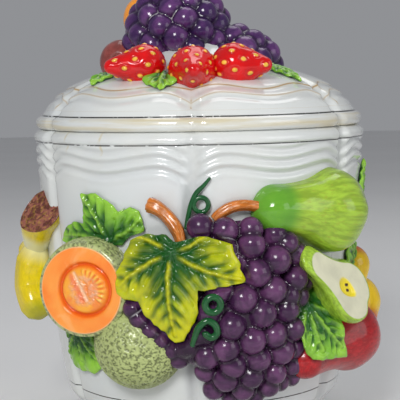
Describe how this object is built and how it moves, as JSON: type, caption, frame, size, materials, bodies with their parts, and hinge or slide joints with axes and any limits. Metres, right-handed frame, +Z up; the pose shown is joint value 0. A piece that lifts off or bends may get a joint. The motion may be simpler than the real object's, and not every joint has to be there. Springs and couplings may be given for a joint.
{
  "type": "biscuit jar",
  "caption": "Lobed white ceramic biscuit jar with a lift-off domed lid and raised glazed fruit: grapes, pears, melons, bananas and strawberries.",
  "frame": {"origin": "middle of the foot ring's underside, on the jar's axis", "axes": "+Z up along the jar's axis; -Y towards the front, through the groove between the two front lobes; +X to the right as seen from the front"},
  "size_m": [0.2249, 0.2142, 0.2694],
  "materials": {
    "white_glaze": "gloss",
    "seal_rubber": "satin",
    "banana_glaze": "gloss",
    "grape_glaze": "gloss",
    "leaf_glaze": "gloss",
    "vine_leaf_glaze": "gloss",
    "stem_glaze": "gloss",
    "tendril_glaze": "gloss",
    "apple_glaze": "gloss",
    "orange_glaze": "gloss",
    "melon_flesh_glaze": "gloss",
    "melon_rind_glaze": "gloss",
    "peach_glaze": "gloss",
    "pear_flesh_glaze": "gloss",
    "green_pear_glaze": "gloss",
    "red_pear_glaze": "gloss",
    "strawberry_glaze": "gloss"
  },
  "bodies": {
    "jar": {"banana_back": "banana_glaze", "banana_crown": "banana_glaze", "banana_front": "banana_glaze", "banana_middle": "banana_glaze", "grapes_front": "grape_glaze", "jar_body": "white_glaze", "leaf_far_lower": "leaf_glaze", "leaf_far_upper": "leaf_glaze", "leaf_lower_left": "leaf_glaze", "leaf_right": "leaf_glaze", "leaf_upper_left": "leaf_glaze", "melon_half": "melon_flesh_glaze", "melon_whole": "melon_rind_glaze", "peach_lower": "peach_glaze", "peach_upper": "peach_glaze", "pear_cut": "pear_flesh_glaze", "pear_green": "green_pear_glaze", "pear_red": "red_pear_glaze", "stem_left": "stem_glaze", "stem_right": "stem_glaze", "tendril_lower": "tendril_glaze", "tendril_upper": "tendril_glaze", "vine_leaf": "vine_leaf_glaze"},
    "lid": {"lid_apple": "apple_glaze", "lid_grapes": "grape_glaze", "lid_leaf_back_left": "leaf_glaze", "lid_leaf_back_right": "leaf_glaze", "lid_leaf_centre": "leaf_glaze", "lid_leaf_left": "leaf_glaze", "lid_leaf_right": "leaf_glaze", "lid_orange": "orange_glaze", "lid_seal": "seal_rubber", "lid_shell": "white_glaze", "strawberry_centre": "strawberry_glaze", "strawberry_left": "strawberry_glaze", "strawberry_right": "strawberry_glaze"}
  },
  "joints": [
    {"name": "lid_lift", "type": "slide", "parent": "jar", "child": "lid", "axis": [0, 0, 1], "range_m": [0, 0.12]}
  ]
}
